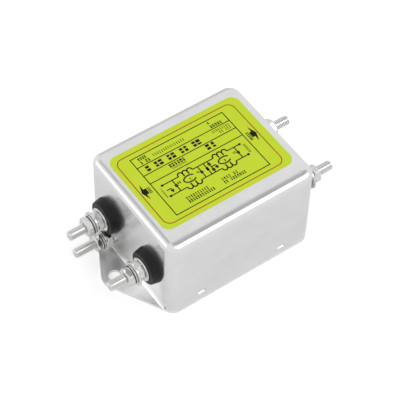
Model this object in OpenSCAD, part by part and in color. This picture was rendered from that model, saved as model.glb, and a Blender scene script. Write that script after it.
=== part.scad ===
// Two-stage EMI line filter in a drawn metal can, with insulated M4 stud terminals.
// Millimetres. The origin is the centre of the base plate's underside, +Z is up,
// -X is the line end and +X is the load end.

/* [Can] */
// Length of the can, between the two terminal walls
case_l = 66; // [60:0.5:80]
// Width of the can
case_w = 54; // [50:0.5:70]
// Height of the can above the base plate
case_h = 39.2; // [36:0.1:50]
// Sheet thickness of the can
case_wall = 0.8; // [0.6:0.1:1]
// Outer radius of the upright corners
case_corner_r = 4.7; // [3:0.1:8]
// Outer radius of the drawn top edge
case_edge_r = 2.1; // [1.5:0.1:2.8]

/* [Base plate] */
// Sheet thickness of the base plate
plate_t = 1.2; // [1:0.1:1.5]
// Distance between the two fixing holes
mount_pitch = 80; // [78:0.5:100]
// Diameter of a fixing hole
mount_hole_d = 4.8; // [4.2:0.1:5.5]
// Radius of an ear's rounded end
ear_r = 5.2; // [4.6:0.1:7]
// Distance of the snap windows from the middle of the can
window_x = 18.5; // [14:0.5:22]
// Length of a snap window
window_l = 3; // [2:0.1:4]
// Height of a snap window
window_h = 1.5; // [1.2:0.1:2]
// Height of a snap window's middle above the underside
window_z = 5.4; // [4.8:0.1:6]

/* [Terminals] */
// Nominal thread diameter of every stud
stud_d = 4; // [3:0.5:5]
// Distance between the two studs of one end
terminal_pitch = 27.6; // [24:0.2:30]
// Height of the insulated studs above the underside
terminal_z = 18.9; // [18.5:0.1:21]
// Reach of an insulated stud past the can's wall
terminal_reach = 18.1; // [16:0.1:22]
// Sideways place of the earth stud
earth_y = 13; // [10:0.1:14]
// Height of the earth stud above the underside
earth_z = 7.4; // [6.8:0.1:7.6]
// Reach of the earth stud past the can's wall
earth_reach = 16.5; // [14:0.1:20]

/* [Insulators] */
// Collar radius against the wall
collar_wall_r = 7.5; // [6.5:0.1:7.6]
// Collar radius at its outer face
collar_face_r = 6.9; // [6:0.1:7.2]
// Thickness of the collar
collar_t = 3.3; // [2.9:0.1:3.4]

/* [Hardware] */
// Size of a nut across its flats
nut_af = 7; // [6:0.1:8]
// Thickness of a nut
nut_h = 2.7; // [2:0.1:3.2]
// Outer diameter of the flat washers
washer_d = 9.8; // [8:0.1:10]
// Outer diameter of the earth stud's flat washer
earth_washer_d = 9; // [8:0.1:9.2]
// Outer diameter of the spring washers
spring_d = 7.6; // [7:0.1:8]
// Thickness of every washer
washer_t = 0.8; // [0.5:0.1:1]

/* [Label] */
// Length of the label
label_l = 58.2; // [56:0.1:60]
// Width of the label
label_w = 39.4; // [38:0.1:44]
// Corner radius of the label
label_r = 3.6; // [2:0.1:5]
// Thickness of the label film
label_t = 0.1; // [0.1:0.05:0.2]
// Thickness of the printed ink
ink_t = 0.05; // [0.05:0.01:0.1]

/* [Hidden] */
$fn = 48;

gap = 0.05;                       // room between a round piece and the hole around it
lap = 0.01;                       // overshoot of a cut past a face
inner_top = plate_t + case_h - case_wall;
inner_l = case_l - 2 * case_wall;
inner_w = case_w - 2 * case_wall;
case_top = plate_t + case_h;

bore_r = stud_d / 2 + gap;
thread_r = 0.885 * stud_d / 2;    // mean radius of the thread, where a nut grips a stud
washer_bore_r = stud_d / 2 + 0.15;
hex_chamfer = 0.15;               // flat left between a nut's chamfer and its sides
spigot_r = 3.9;                   // part of the collar that fills the hole in the wall
spigot_in = 0.7;                  // how far the spigot reaches inside the wall
inner_ins_r = 6;
inner_ins_t = 2;
tag_t = 0.6;
tag_r = 3.6;
head_h = 2.8;
under_head = case_wall + inner_ins_t + tag_t; // from the wall's outer face in to the bolt's head
tip_chamfer = 0.45;
wall_cut = 3 * case_wall;         // depth of a cut that surely opens the wall

// Outward distances from the wall's outer face, for the insulated studs
clamp_washer_at = collar_t;
clamp_nut_at = clamp_washer_at + washer_t;
flat_washer_at = clamp_nut_at + nut_h;
spring_washer_at = flat_washer_at + washer_t;
terminal_nut_at = spring_washer_at + washer_t;
// The same for the earth stud
earth_nut_at = washer_t;
earth_flat_at = earth_nut_at + nut_h;
earth_spring_at = earth_flat_at + washer_t;
earth_terminal_nut_at = earth_spring_at + washer_t;

board_z = 4.4;
board_t = 1.6;
board_l = 56;
board_w = 44;
board_top = board_z + board_t;
core_outer_r = 8.6;
core_inner_r = 5;
core_h = 8;
choke_x = 10.8;
wire_d = 1;                       // also the room between a core and the board
turns = 8;
turn_step = 14;                   // degrees between two turns
x_cap_x = 24.4;
x_cap_size = [5, 15, 11];
mid_cap_size = [18, 6, 12];
edge_row = board_w / 2 - 4.5;     // how far off the middle the parts by a long edge stand
lead_d = 1.2;

// Label print, in the can's own X and Y
label_pos = [0.4, 1.7];
border_pos = [-0.4, 1.4];
border_l = 53.1;
border_w = 35.2;
border_r = 3.2;
border_line = 0.35;
frame_pos = [-0.2, 1.4];
frame_l = 42.2;
frame_w = 30.5;
frame_rows = [0.153, 0.293, 0.43]; // where its cross lines are, as shares of its width
print_line = 0.32;
rail_high = 0.3;                  // upper conductor of the printed circuit
rail_low = -5.8;                  // lower conductor
rail_mid = (rail_high + rail_low) / 2;
rail_end = 18;
coil_x = [-7.7, 7.7];             // middles of the printed chokes
hump_r = 0.95;                    // a choke is three humps
coil_half = 3 * hump_r;
arrow_pos = [[-24.8, 1], [24, 1.6]];
caption_gap = 2.1;                // from an arrow to the small print beside it

TERMINALS = ["line_a", "line_b", "load_a", "load_b"];
TERMINAL_SIDE = [-1, -1, 1, 1];   // end of the can
TERMINAL_ROW = [-1, 1, -1, 1];    // near or far stud of that end
CLAMP_TURN = [45, 14, 40, 14];     // how each nut happened to stop
TOP_TURN = [18, 8, 33, 4];
EARTH_TURN = [12, 34];
TERMINAL_PARTS = ["stud", "insulator", "inner_insulator", "lead", "clamp_washer",
    "clamp_nut", "flat_washer", "spring_washer", "terminal_nut"];
EARTH_PARTS = ["stud", "lock_washer", "clamp_nut", "flat_washer", "spring_washer",
    "terminal_nut"];

// ---- shared shapes ----

module rounded_rect(l, w, r) {
    square([l - 2 * r, w], center = true);
    square([l, w - 2 * r], center = true);
    for (x = [-1, 1], y = [-1, 1])
        translate([x * (l / 2 - r), y * (w / 2 - r)]) circle(r);
}

// Half section of a slab whose top edge is rounded: half length a, height e
module edge_section(a, e) {
    square([a - e, e]);
    intersection() {
        translate([a - e, 0]) circle(e);
        translate([a - e, 0]) square(e);
    }
}

// Block with upright corners of radius r and a top edge rounded by e
module drawn_block(l, w, h, r, e) {
    linear_extrude(h - e) rounded_rect(l, w, r);
    translate([0, 0, h - e]) {
        for (x = [-1, 1], y = [-1, 1])
            translate([x * (l / 2 - r), y * (w / 2 - r), 0])
                rotate_extrude() edge_section(r, e);
        rotate([90, 0, 90])
            translate([0, 0, -(l / 2 - r)])
                linear_extrude(l - 2 * r)
                    for (m = [0, 1]) mirror([m, 0]) edge_section(w / 2, e);
        rotate([90, 0, 0])
            translate([0, 0, -(w / 2 - r)])
                linear_extrude(w - 2 * r)
                    for (m = [0, 1]) mirror([m, 0]) edge_section(l / 2, e);
    }
}

// Puts +Z outwards from the wall at one insulated terminal
module at_terminal(i) {
    translate([TERMINAL_SIDE[i] * case_l / 2, TERMINAL_ROW[i] * terminal_pitch / 2, terminal_z])
        rotate([0, TERMINAL_SIDE[i] * 90, 0]) children();
}

module at_earth() {
    translate([-case_l / 2, earth_y, earth_z]) rotate([0, -90, 0]) children();
}

module ring(outer_r, inner_r, h) {
    difference() {
        cylinder(r = outer_r, h = h);
        translate([0, 0, -lap]) cylinder(r = inner_r, h = h + 2 * lap);
    }
}

// Bolt with its head inside the can. It is thread_r thick up to the last nut's face,
// and has its full thread size from there to the chamfered tip.
module bolt(under_head, last_nut_face, reach) {
    rotate_extrude() polygon([
        [0, -under_head], [thread_r, -under_head], [thread_r, last_nut_face],
        [stud_d / 2, last_nut_face], [stud_d / 2, reach - tip_chamfer],
        [stud_d / 2 - tip_chamfer, reach], [0, reach]]);
    translate([0, 0, -under_head - head_h]) hex_block(nut_af, head_h);
}

// Hexagon with both ends turned to a 30 degree chamfer
module hex_block(af, h) {
    corner_r = af / sqrt(3);
    face_r = af / 2 - hex_chamfer;
    cut = (corner_r - face_r) * tan(30);
    intersection() {
        cylinder(r = corner_r, h = h, $fn = 6);
        rotate_extrude() polygon([
            [0, 0], [face_r, 0], [corner_r, cut], [corner_r, h - cut], [face_r, h], [0, h]]);
    }
}

module nut(turn) {
    rotate([0, 0, turn]) difference() {
        hex_block(nut_af, nut_h);
        translate([0, 0, -lap]) cylinder(r = thread_r + gap, h = nut_h + 2 * lap);
    }
}

// ---- enclosure ----

module case_shell() {
    color("#c9cacc")
    difference() {
        translate([0, 0, plate_t])
            drawn_block(case_l, case_w, case_h, case_corner_r, case_edge_r);
        translate([0, 0, plate_t - lap])
            drawn_block(inner_l, inner_w, case_h - case_wall + lap,
                case_corner_r - case_wall, case_edge_r - case_wall);
        for (i = [0 : len(TERMINALS) - 1]) at_terminal(i) wall_hole(spigot_r + gap);
        at_earth() wall_hole(bore_r);
        for (x = [-1, 1], y = [-1, 1])
            translate([x * window_x, y * (case_w - case_wall) / 2, window_z])
                cube([window_l, 2 * case_wall, window_h], center = true);
    }
}

module wall_hole(r) {
    translate([0, 0, -wall_cut / 2]) cylinder(r = r, h = wall_cut);
}

// Ears reach past both ends and the tabs snap into the can's windows
module base_plate() {
    color("#bfc1c4") {
        difference() {
            linear_extrude(plate_t) {
                rounded_rect(case_l, case_w, case_corner_r);
                for (s = [0, 1]) mirror([s, 0]) ear_outline();
            }
            for (s = [-1, 1])
                translate([s * mount_pitch / 2, 0, -lap])
                    cylinder(d = mount_hole_d, h = plate_t + 2 * lap);
        }
        for (x = [-1, 1], s = [0, 1])
            translate([x * window_x, 0, 0]) mirror([0, s, 0]) snap_tab();
    }
}

// Round end about the fixing hole, with sides that touch it and the plate's two corners
module ear_outline() {
    hole = [mount_pitch / 2, 0];
    corner = [case_l / 2 - case_corner_r, case_w / 2 - case_corner_r];
    span = corner - hole;
    lean = acos((case_corner_r - ear_r) / norm(span)) - atan2(span[1], -span[0]);
    out = [cos(lean), sin(lean)];
    root = corner + case_corner_r * out;
    tip = hole + ear_r * out;
    polygon([[0, -corner[1]], [root[0], -root[1]], [tip[0], -tip[1]],
        tip, root, [0, corner[1]]]);
    translate(hole) circle(ear_r);
}

// Upright tab inside the long wall: a shelf for the board and a barb in the window
module snap_tab() {
    tab_t = 0.8;
    tab_w = 9;
    above_window = 2.2;
    shelf_w = 1.2;
    shelf_reach = 1.5;
    slack = 0.2;
    face_y = inner_w / 2;
    board_y = board_w / 2 - shelf_reach;
    translate([-tab_w / 2, face_y - tab_t, plate_t - lap])
        cube([tab_w, tab_t, window_z + above_window - plate_t]);
    translate([-shelf_w / 2, board_y, plate_t - lap])
        cube([shelf_w, face_y - tab_t - board_y + lap, board_z - plate_t + lap]);
    translate([-window_l / 2 + slack, face_y - lap, window_z - window_h / 2 + slack])
        cube([window_l - 2 * slack, 0.75 * case_wall + lap, window_h - 2 * slack]);
}

// ---- label ----

module label_film() {
    color("#bcd632")
        translate([label_pos[0], label_pos[1], case_top])
            linear_extrude(label_t) rounded_rect(label_l, label_w, label_r);
}

// Flat ink shapes on top of the label film
module ink() {
    translate([0, 0, case_top + label_t]) linear_extrude(ink_t) children();
}

module label_border() {
    color("#d9582a") ink() translate(border_pos) difference() {
        rounded_rect(border_l, border_w, border_r);
        rounded_rect(border_l - 2 * border_line, border_w - 2 * border_line, border_r - border_line);
    }
}

// Ink strip between two points
module strip(a, b) {
    d = b - a;
    translate(a) rotate(atan2(d[1], d[0])) translate([0, -print_line / 2])
        square([norm(d), print_line]);
}

module half_ring(r) {
    difference() {
        circle(r + print_line / 2);
        circle(r - print_line / 2);
        translate([-2 * r, -4 * r]) square(4 * r);
    }
}

// A conductor's half of a choke, with its humps away from the other conductor
module printed_coil(x, side) {
    rail = side > 0 ? rail_high : rail_low;
    for (i = [-1 : 1])
        translate([x + 2 * hump_r * i, rail]) rotate(side > 0 ? 0 : 180) half_ring(hump_r);
}

// Round core between the two halves of a choke, open on one side
module printed_core(x) {
    r = 1.9;
    opening = 1.6;
    translate([x, rail_mid]) difference() {
        circle(r);
        circle(r - print_line);
        translate([0, -opening / 2]) square([2 * r, opening]);
    }
}

module printed_dot(p) {
    translate(p) circle(0.5);
}

// Two plates across the conductors, with their leads
module printed_capacitor(x) {
    plate = 1;
    half_gap = 0.35;
    for (s = [-1, 1]) {
        strip([x, s > 0 ? rail_high : rail_low], [x, rail_mid + s * half_gap]);
        strip([x - plate, rail_mid + s * half_gap], [x + plate, rail_mid + s * half_gap]);
    }
}

module printed_resistor(x) {
    box = [1.1, 2.5];
    for (s = [-1, 1])
        strip([x, s > 0 ? rail_high : rail_low], [x, rail_mid + s * (box[1] - print_line) / 2]);
    translate([x, rail_mid]) difference() {
        square(box, center = true);
        square(box - 2 * [print_line, print_line], center = true);
    }
}

// Two capacitors in a row between the conductors, with earth bars at their middle
module printed_earth_pair(x) {
    plate = 0.8;
    far = 1.7;
    near = 1.1;
    lead = 1.2;
    bar_step = 0.45;
    bar_taper = 0.25;
    for (s = [-1, 1]) {
        strip([x, s > 0 ? rail_high : rail_low], [x, rail_mid + s * far]);
        for (h = [far, near])
            strip([x - plate, rail_mid + s * h], [x + plate, rail_mid + s * h]);
        strip([x, rail_mid + s * near], [x, rail_mid]);
    }
    strip([x, rail_mid], [x + lead, rail_mid]);
    for (i = [0 : 2])
        strip([x + lead + bar_step * i, rail_mid - plate + bar_taper * i],
            [x + lead + bar_step * i, rail_mid + plate - bar_taper * i]);
}

module printed_circuit() {
    for (s = [-1, 1]) {
        rail = s > 0 ? rail_high : rail_low;
        strip([-rail_end, rail], [coil_x[0] - coil_half, rail]);
        strip([coil_x[0] + coil_half, rail], [coil_x[1] - coil_half, rail]);
        strip([coil_x[1] + coil_half, rail], [rail_end, rail]);
        printed_dot([-rail_end, rail]);
        printed_dot([rail_end, rail]);
        for (x = coil_x) printed_coil(x, s);
    }
    for (x = coil_x) printed_core(x);
    for (x = [-13.8, -2.4, 14.3]) printed_capacitor(x);
    printed_resistor(0.3);
    printed_earth_pair(2.9);
}

module printed_frame() {
    half = [frame_l / 2, frame_w / 2];
    translate(frame_pos) {
        difference() {
            square([frame_l + print_line, frame_w + print_line], center = true);
            square([frame_l - print_line, frame_w - print_line], center = true);
        }
        for (f = frame_rows)
            strip([-half[0], half[1] - f * frame_w], [half[0], half[1] - f * frame_w]);
    }
}

// Stub arrow that points along +X
module stub_arrow() {
    tip = 1.45;
    barb = [0, 3.4];
    shaft = [-1.1, 1.4];
    polygon([[tip, 0], barb, [barb[0], shaft[1]], shaft,
        [shaft[0], -shaft[1]], [barb[0], -shaft[1]], [barb[0], -barb[1]]]);
}

function sum_before(v, n) = n <= 0 ? 0 : v[n - 1] + sum_before(v, n - 1);

// Row of plain bars in place of print, from x0 on and h high
module print_bars(x0, y, widths, h) {
    space = 0.55 * h;
    for (i = [0 : len(widths) - 1])
        translate([x0 + sum_before(widths, i) + space * i, y - h / 2]) square([widths[i], h]);
}

module label_print() {
    color("#1c1e16") ink() {
        printed_frame();
        printed_circuit();
        for (i = [0, 1]) translate(arrow_pos[i]) mirror([1 - i, 0]) {
            stub_arrow();
            translate([-caption_gap, -1.6]) rotate(90) print_bars(0, 0, [0.6, 0.5, 0.6, 0.4], 0.7);
        }
        print_bars(-19, 9.75, [3.4, 4.2, 2.4, 4.6, 2.2, 3.4], 1.9);
        print_bars(-18.6, 14.9, [1.6, 2], 0.8);
        print_bars(-18.4, 13.2, [1.4, 1.6], 0.8);
        print_bars(-13.6, 14.2, [2.4, 3.2, 1.6, 3.6], 0.8);
        print_bars(12.2, 14.9, [1.4, 2.4], 0.7);
        print_bars(11.2, 13.3, [2.4, 1.8], 0.7);
        print_bars(11.4, 9.8, [1.8, 1.2, 2.6], 0.6);
        print_bars(-14.6, -9.5, [1.2, 3, 2.2, 1.6], 0.8);
        print_bars(-14.6, -11.7, [1.2, 2.2, 3.6, 2], 0.8);
        print_bars(1.5, -9.5, [1, 2.8, 1.6], 0.8);
        print_bars(1.5, -11.7, [1, 3.4, 2.4], 0.8);
    }
}

// ---- insulated terminals ----

module terminal_stud(i) {
    color("#d4d5d7") at_terminal(i)
        bolt(under_head, terminal_nut_at + nut_h, terminal_reach);
}

// Moulded collar with a spigot that lines the hole in the wall
module terminal_insulator(i) {
    edge = 0.4;
    color("#202124") at_terminal(i) rotate_extrude() {
        polygon([
            [bore_r, -case_wall - spigot_in], [spigot_r, -case_wall - spigot_in], [spigot_r, 0],
            [collar_wall_r, 0], [collar_face_r, collar_t - edge], [collar_face_r - edge, collar_t - edge],
            [collar_face_r - edge, collar_t], [bore_r, collar_t]]);
        intersection() {
            translate([collar_face_r - edge, collar_t - edge]) circle(edge);
            translate([collar_face_r - edge, collar_t - edge]) square(edge);
        }
    }
}

module terminal_inner_insulator(i) {
    color("#26272a") at_terminal(i) rotate_extrude() polygon([
        [bore_r, -case_wall - inner_ins_t], [inner_ins_r, -case_wall - inner_ins_t],
        [inner_ins_r, -case_wall], [spigot_r + gap, -case_wall],
        [spigot_r + gap, -case_wall - spigot_in], [bore_r, -case_wall - spigot_in]]);
}

// Solder tag under the bolt's head, with the wire that runs down to the board
module terminal_lead(i) {
    side = TERMINAL_SIDE[i];
    row_y = TERMINAL_ROW[i] * terminal_pitch / 2;
    tag_x = side * (case_l / 2 - under_head + tag_t / 2);
    drop_x = side * (board_l / 2 - 1.6);
    tongue = [tag_t, 2.4, 4.6];
    foot = terminal_z - tag_r - 3;    // height at which the wire leaves the tongue
    color("#b87333") {
        at_terminal(i) translate([0, 0, -under_head]) ring(tag_r, bore_r, tag_t);
        translate([tag_x - tag_t / 2, row_y - tongue[1] / 2, foot - 0.3]) cube(tongue);
        translate([tag_x, row_y, foot]) {
            sphere(d = lead_d);
            rotate([0, -side * 90, 0]) cylinder(d = lead_d, h = abs(tag_x - drop_x));
            translate([drop_x - tag_x, 0, 0]) {
                sphere(d = lead_d);
                translate([0, 0, board_top - foot]) cylinder(d = lead_d, h = foot - board_top);
            }
        }
    }
}

module terminal_clamp_washer(i) {
    color("#dadbdd") at_terminal(i)
        translate([0, 0, clamp_washer_at]) ring(washer_d / 2, washer_bore_r, washer_t);
}

module terminal_clamp_nut(i) {
    color("#d0d1d3") at_terminal(i) translate([0, 0, clamp_nut_at]) nut(CLAMP_TURN[i]);
}

module terminal_flat_washer(i) {
    color("#dadbdd") at_terminal(i)
        translate([0, 0, flat_washer_at]) ring(washer_d / 2, washer_bore_r, washer_t);
}

// Split washer, pressed flat
module split_ring() {
    slit = 0.8;
    slit_turn = 70;
    difference() {
        ring(spring_d / 2, washer_bore_r, washer_t);
        rotate([0, 0, slit_turn]) translate([0, -slit / 2, -lap])
            cube([spring_d, slit, washer_t + 2 * lap]);
    }
}

module terminal_spring_washer(i) {
    color("#a9abad") at_terminal(i)
        translate([0, 0, spring_washer_at]) split_ring();
}

module terminal_nut(i) {
    color("#d0d1d3") at_terminal(i) translate([0, 0, terminal_nut_at]) nut(TOP_TURN[i]);
}

module terminal_part(i, p) {
    if (p == "stud") terminal_stud(i);
    if (p == "insulator") terminal_insulator(i);
    if (p == "inner_insulator") terminal_inner_insulator(i);
    if (p == "lead") terminal_lead(i);
    if (p == "clamp_washer") terminal_clamp_washer(i);
    if (p == "clamp_nut") terminal_clamp_nut(i);
    if (p == "flat_washer") terminal_flat_washer(i);
    if (p == "spring_washer") terminal_spring_washer(i);
    if (p == "terminal_nut") terminal_nut(i);
}

// ---- earth stud ----

module earth_stud() {
    color("#d4d5d7") at_earth()
        bolt(case_wall, earth_terminal_nut_at + nut_h, earth_reach);
}

// Toothed washer that bites through the plating
module earth_lock_washer() {
    outer_r = 3.8;
    notch = [0.7, 0.9];
    teeth = 8;
    color("#b2b4b6") at_earth() difference() {
        ring(outer_r, washer_bore_r, washer_t);
        for (i = [0 : teeth - 1])
            rotate([0, 0, i * 360 / teeth]) translate([outer_r - notch[0], -notch[1] / 2, -lap])
                cube([2 * notch[0], notch[1], washer_t + 2 * lap]);
    }
}

module earth_clamp_nut() {
    color("#d0d1d3") at_earth() translate([0, 0, earth_nut_at]) nut(EARTH_TURN[0]);
}

module earth_flat_washer() {
    color("#dadbdd") at_earth()
        translate([0, 0, earth_flat_at]) ring(earth_washer_d / 2, washer_bore_r, washer_t);
}

module earth_spring_washer() {
    color("#a9abad") at_earth() translate([0, 0, earth_spring_at]) split_ring();
}

module earth_terminal_nut() {
    color("#d0d1d3") at_earth() translate([0, 0, earth_terminal_nut_at]) nut(EARTH_TURN[1]);
}

// ---- inside the can ----

module component_board() {
    hole_d = 3;
    hole_inset = 4;
    color("#8a7a45") difference() {
        translate([-board_l / 2, -board_w / 2, board_z]) cube([board_l, board_w, board_t]);
        for (x = [-1, 1], y = [-1, 1])
            translate([x * (board_l / 2 - hole_inset), y * (board_w / 2 - hole_inset), board_z - lap])
                cylinder(d = hole_d, h = board_t + 2 * lap);
    }
}

module choke_core(x) {
    color("#3f4346") translate([x, 0, board_top + wire_d])
        ring(core_outer_r, core_inner_r, core_h);
}

// One turn of wire round the core's section, on the +X side of the ring
module turn_loop() {
    inner = core_inner_r - 2 * gap;
    outer = core_outer_r + gap;
    difference() {
        translate([inner - wire_d, -wire_d / 2, -wire_d])
            cube([outer - inner + 2 * wire_d, wire_d, core_h + 2 * wire_d]);
        translate([inner, -wire_d, 0]) cube([outer - inner, 2 * wire_d, core_h]);
    }
}

module choke_winding(x, facing) {
    color("#b4642a") translate([x, 0, board_top + wire_d])
        for (i = [0 : turns - 1])
            rotate([0, 0, facing + (i - (turns - 1) / 2) * turn_step]) turn_loop();
}

module box_capacitor(pos, size) {
    color("#e2c437") translate([pos[0] - size[0] / 2, pos[1] - size[1] / 2, board_top])
        cube(size);
}

module y_capacitors() {
    disc_r = 4.2;
    disc_t = 3;
    lift = 1;
    lead_pitch = 5;
    color("#2d6fb5") for (s = [-1, 1])
        translate([s * 11, -edge_row, board_top + disc_r + lift]) {
            rotate([90, 0, 0]) translate([0, 0, -disc_t / 2]) cylinder(r = disc_r, h = disc_t);
            for (x = [-1, 1])
                translate([x * lead_pitch / 2, 0, -disc_r - lift]) cylinder(d = 0.6, h = 3 * lift);
        }
}

module bleed_resistor() {
    body_l = 9;
    body_d = 3.2;
    wire = 0.7;
    reach = 1.2;
    lift = body_d / 2 + 0.4;
    color("#c9a77a") translate([0, -edge_row, board_top + lift]) {
        rotate([0, 90, 0]) translate([0, 0, -body_l / 2]) cylinder(d = body_d, h = body_l);
        for (x = [-1, 1]) {
            translate([x * (body_l / 2 - lap), 0, 0]) rotate([0, x * 90, 0])
                cylinder(d = wire, h = reach + lap);
            translate([x * (body_l / 2 + reach), 0, 0]) {
                sphere(d = wire);
                translate([0, 0, -lift]) cylinder(d = wire, h = lift);
            }
        }
    }
}

case_shell();
base_plate();
label_film();
label_border();
label_print();
for (i = [0 : len(TERMINALS) - 1], p = TERMINAL_PARTS)
    terminal_part(i, p);
earth_stud();
earth_lock_washer();
earth_clamp_nut();
earth_flat_washer();
earth_spring_washer();
earth_terminal_nut();
component_board();
choke_core(-choke_x);  // line_choke_core
choke_core(choke_x);  // load_choke_core
choke_winding(-choke_x, -90);  // line_choke_winding_a
choke_winding(-choke_x, 90);  // line_choke_winding_b
choke_winding(choke_x, -90);  // load_choke_winding_a
choke_winding(choke_x, 90);  // load_choke_winding_b
box_capacitor([-x_cap_x, 0], x_cap_size);  // line_x_capacitor
box_capacitor([0, board_w / 2 - 5], mid_cap_size);  // middle_x_capacitor
box_capacitor([x_cap_x, 0], x_cap_size);  // load_x_capacitor
y_capacitors();
bleed_resistor();
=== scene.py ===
import bmesh
import bpy
import math
from mathutils import Matrix, Vector


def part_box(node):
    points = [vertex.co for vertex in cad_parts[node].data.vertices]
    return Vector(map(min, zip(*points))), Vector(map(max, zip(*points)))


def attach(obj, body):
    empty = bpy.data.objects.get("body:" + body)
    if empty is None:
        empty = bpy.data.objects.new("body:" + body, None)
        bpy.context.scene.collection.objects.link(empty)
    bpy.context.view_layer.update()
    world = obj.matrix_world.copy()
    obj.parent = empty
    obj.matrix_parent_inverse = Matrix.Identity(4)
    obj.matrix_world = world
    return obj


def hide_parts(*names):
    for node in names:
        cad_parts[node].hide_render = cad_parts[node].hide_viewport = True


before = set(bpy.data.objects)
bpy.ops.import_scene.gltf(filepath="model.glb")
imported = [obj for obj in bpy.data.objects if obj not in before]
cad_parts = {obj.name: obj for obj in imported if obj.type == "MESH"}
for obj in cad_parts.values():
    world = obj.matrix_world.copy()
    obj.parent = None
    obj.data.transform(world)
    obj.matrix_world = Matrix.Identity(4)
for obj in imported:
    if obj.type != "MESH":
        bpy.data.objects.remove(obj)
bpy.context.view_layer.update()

mm = 0.001
mergeDistance = 0.001 * mm
print("frame loaded with", len(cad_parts), "nodes")


# Node helpers, for shader and geometry trees alike

def addNode(tree, kind, settings=None, inputs=None):
    node = tree.nodes.new(kind)
    for name, value in (settings or {}).items():
        setattr(node, name, value)
    for name, value in (inputs or {}).items():
        if isinstance(value, bpy.types.NodeSocket):
            tree.links.new(value, node.inputs[name])
        else:
            node.inputs[name].default_value = value
    return node


def calc(tree, operation, *values):
    return addNode(tree, "ShaderNodeMath", {"operation": operation}, dict(enumerate(values))).outputs[0]


def splitPoint(tree, point):
    return addNode(tree, "ShaderNodeSeparateXYZ", None, {0: point}).outputs


def joinPoint(tree, x, y, z):
    return addNode(tree, "ShaderNodeCombineXYZ", None, {0: x, 1: y, 2: z}).outputs[0]


def newFinish(name):
    finish = bpy.data.materials.new(name)
    finish.use_nodes = True
    tree = finish.node_tree
    tree.nodes.clear()
    shader = addNode(tree, "ShaderNodeBsdfPrincipled")
    addNode(tree, "ShaderNodeOutputMaterial", None, {"Surface": shader.outputs["BSDF"]})
    return finish, tree, shader


def objectPoint(tree):
    return addNode(tree, "ShaderNodeTexCoord").outputs["Object"]


def cloud(tree, point, size, detail=3.0, roughness=0.5, distortion=0.0):
    return addNode(tree, "ShaderNodeTexNoise", None, {
        "Vector": point, "Scale": 1 / size, "Detail": detail,
        "Roughness": roughness, "Distortion": distortion}).outputs["Fac"]


def remap(tree, value, fromLow, fromHigh, toLow, toHigh):
    return addNode(tree, "ShaderNodeMapRange", None, {
        "Value": value, "From Min": fromLow, "From Max": fromHigh,
        "To Min": toLow, "To Max": toHigh}).outputs["Result"]


def tint(tree, value, stops):
    ramp = addNode(tree, "ShaderNodeValToRGB", None, {"Fac": value})
    marks = ramp.color_ramp.elements
    while len(marks) < len(stops):
        marks.new(0.5)
    for mark, (place, colour) in zip(marks, stops):
        mark.position = place
        mark.color = (*colour, 1)
    return ramp.outputs["Color"]


def relief(tree, height, distance, strength=1.0, under=None):
    inputs = {"Height": height, "Distance": distance, "Strength": strength}
    if under is not None:
        inputs["Normal"] = under
    return addNode(tree, "ShaderNodeBump", None, inputs).outputs["Normal"]


# Finishes

mottleRange = (0.3, 0.7)


def mottled(tree, mottle, look):
    return tint(tree, mottle, list(zip(mottleRange, (look["dark"], look["light"]))))


def platedMetal(name, look):
    finish, tree, shader = newFinish(name)
    point = objectPoint(tree)
    mottle = cloud(tree, point, look["mottle"], 4, 0.6, 0.4)
    fine = cloud(tree, point, look["grain"], 2)
    waves = cloud(tree, point, look["waveSize"], 1)
    shader.inputs["Metallic"].default_value = 1
    colour = mottled(tree, mottle, look)
    # painted shade: darkens the thread roots, read from the attribute stored by the stud's tree
    if "root_shade" in look:
        depth = addNode(tree, "ShaderNodeAttribute", {"attribute_name": "root_shade"}).outputs["Fac"]
        shade = tint(tree, depth, [(0.0, (1, 1, 1)), (1.0, look["root_shade"])])
        colour = addNode(tree, "ShaderNodeMix", {"data_type": "RGBA", "blend_type": "MULTIPLY"}, {
            "Factor": 1.0, 6: colour, 7: shade}).outputs[2]
    tree.links.new(colour, shader.inputs["Base Color"])
    rough = remap(tree, mottle, *mottleRange, look["rough"][1], look["rough"][0])
    tree.links.new(rough, shader.inputs["Roughness"])
    wavy = relief(tree, waves, look["waveDepth"])
    tree.links.new(relief(tree, fine, look["grainDepth"], 1, wavy), shader.inputs["Normal"])
    return finish


def softSolid(name, look):
    finish, tree, shader = newFinish(name)
    point = objectPoint(tree)
    mottle = cloud(tree, point, look["mottle"], 3, 0.6)
    fine = cloud(tree, point, look["grain"], 2)
    tree.links.new(mottled(tree, mottle, look), shader.inputs["Base Color"])
    tree.links.new(remap(tree, mottle, *mottleRange, *look["rough"]), shader.inputs["Roughness"])
    tree.links.new(relief(tree, fine, look["grainDepth"]), shader.inputs["Normal"])
    shader.inputs["Specular IOR Level"].default_value = look.get("sheen", 0.5)
    return finish


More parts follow.
